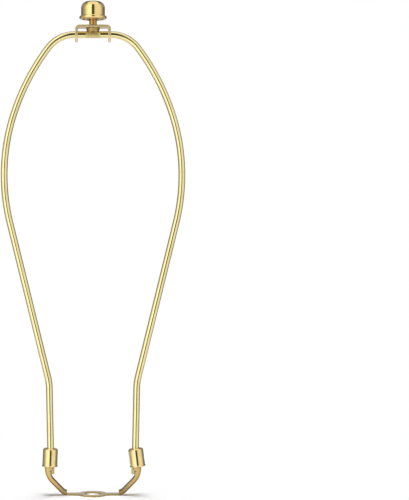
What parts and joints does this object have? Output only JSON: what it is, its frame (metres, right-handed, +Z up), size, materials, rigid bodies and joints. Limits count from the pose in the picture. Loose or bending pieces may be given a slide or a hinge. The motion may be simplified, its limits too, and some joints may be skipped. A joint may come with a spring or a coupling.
{
  "type": "lamp harp",
  "caption": "Bow of bent wire that hooks into a folded saddle under locking ferrules and carries a swivelling threaded stud and finial for a table lamp's shade.",
  "frame": {"origin": "centre of the saddle's hole, on the saddle's underside", "axes": "+Z up the harp to the finial, +X across the legs, +Y through the bow"},
  "size_m": [0.1198, 0.0186, 0.3208],
  "materials": {
    "plated_wire": "polished",
    "plated_strip": "satin",
    "ferrule_brass": "polished",
    "bracket_brass": "polished",
    "stud_brass": "satin",
    "finial_brass": "polished",
    "hub_brass": "satin"
  },
  "bodies": {
    "harp": {"harp_bow": "plated_wire", "saddle": "plated_strip"},
    "left_ferrule": {"ferrule_left": "ferrule_brass"},
    "right_ferrule": {"ferrule_right": "ferrule_brass"},
    "swivel": {"swivel_bracket": "bracket_brass", "threaded_stud": "stud_brass"},
    "finial_hub": {"finial_insert": "hub_brass"},
    "finial": {"finial_cap": "finial_brass"}
  },
  "joints": [
    {"name": "left_ferrule_slide", "type": "slide", "parent": "harp", "child": "left_ferrule", "axis": [-0.0209, 0, 0.9998], "range_m": [0, 0.03]},
    {"name": "right_ferrule_slide", "type": "slide", "parent": "harp", "child": "right_ferrule", "axis": [0.0209, 0, 0.9998], "range_m": [0, 0.03]},
    {"name": "swivel_turn", "type": "hinge", "parent": "harp", "child": "swivel", "pos_m": [0, 0, 0.2988], "axis": [1, 0, 0], "continuous": true},
    {"name": "finial_lift", "type": "slide", "parent": "swivel", "child": "finial_hub", "axis": [0, 0, 1], "range_m": [0, 0.008]},
    {"name": "finial_turn", "type": "hinge", "parent": "finial_hub", "child": "finial", "pos_m": [0, 0, 0.3148], "axis": [0, 0, 1], "range_deg": [0, 3060]}
  ],
  "couplings": [
    {"joint": "finial_lift", "follows": "finial_turn", "m_per_rad": 0.00014972}
  ]
}
